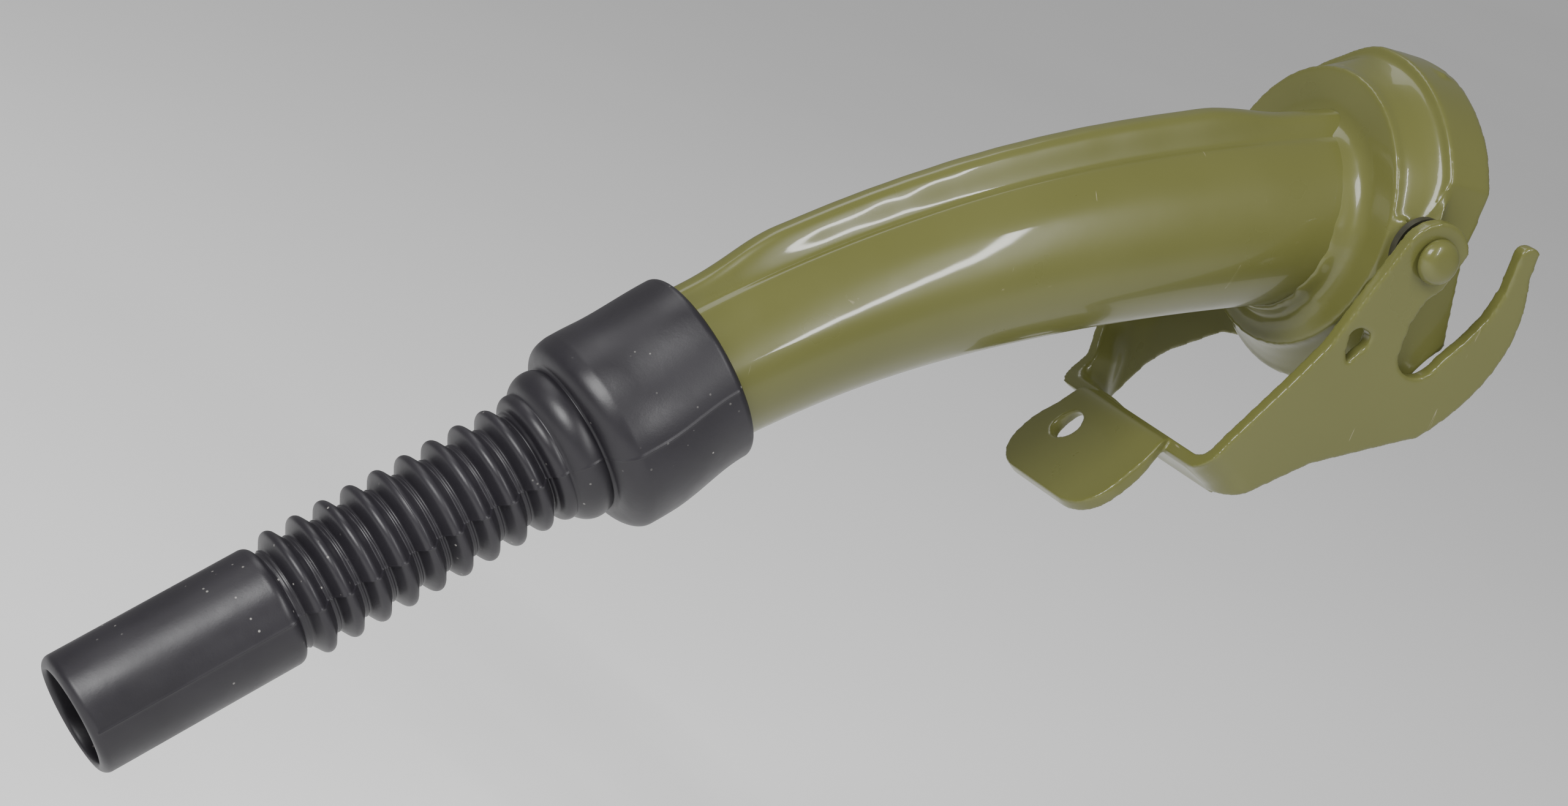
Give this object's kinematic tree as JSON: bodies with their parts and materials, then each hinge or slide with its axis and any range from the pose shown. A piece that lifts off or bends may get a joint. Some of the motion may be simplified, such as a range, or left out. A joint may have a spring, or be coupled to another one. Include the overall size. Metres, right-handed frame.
{
  "type": "fuel can pouring spout",
  "caption": "Bent steel pouring spout for a fuel can, with a pressed cap, a forked locking lever with hooks, and a flexible rubber bellows end.",
  "frame": {"origin": "centre of the mouth, in the plane of the gasket's sealing face", "axes": "+X leaves the mouth towards the can, Y is the lever's pivot direction with -Y on the near side, +Z is the side of the pipe that carries the seam"},
  "size_m": [0.2627, 0.0782, 0.191],
  "materials": {
    "olive_paint": "gloss",
    "plain_steel": "satin",
    "black_rubber": "satin"
  },
  "bodies": {
    "spout": {"spout_pipe": "olive_paint", "seam_ridge": "olive_paint", "cap_shell": "olive_paint", "saddle_bracket": "olive_paint", "root_weld": "olive_paint", "saddle_welds": "olive_paint", "gasket_cup": "plain_steel", "mouth_gasket": "black_rubber", "strainer_ring": "plain_steel", "strainer_gauze": "plain_steel", "breather_tube": "plain_steel", "breather_clips": "plain_steel", "pivot_rivet_near": "olive_paint", "pivot_rivet_far": "olive_paint", "pivot_washer_near": "plain_steel", "pivot_washer_far": "plain_steel", "rubber_cuff": "black_rubber", "bellows_upper": "black_rubber"},
    "lever": {"locking_lever": "olive_paint"},
    "flex_middle": {"bellows_middle": "black_rubber"},
    "flex_tip": {"bellows_lower": "black_rubber", "rubber_tip": "black_rubber"}
  },
  "joints": [
    {"name": "lever_pivot", "type": "hinge", "parent": "spout", "child": "lever", "pos_m": [-0.002, 0, 0.0015], "axis": [0, 1, 0], "range_deg": [-95, 12]},
    {"name": "bend_pitch", "type": "hinge", "parent": "spout", "child": "flex_middle", "pos_m": [-0.16674, 0, -0.09162], "axis": [0, 1, 0], "range_deg": [-30, 30], "stiffness_Nm_per_rad": 0.6, "deforming": ["bellows_upper"]},
    {"name": "bend_yaw", "type": "hinge", "parent": "flex_middle", "child": "flex_tip", "pos_m": [-0.18938, 0, -0.1113], "axis": [-0.6561, 0, 0.7547], "range_deg": [-30, 30], "stiffness_Nm_per_rad": 0.6, "deforming": ["bellows_lower"]}
  ]
}
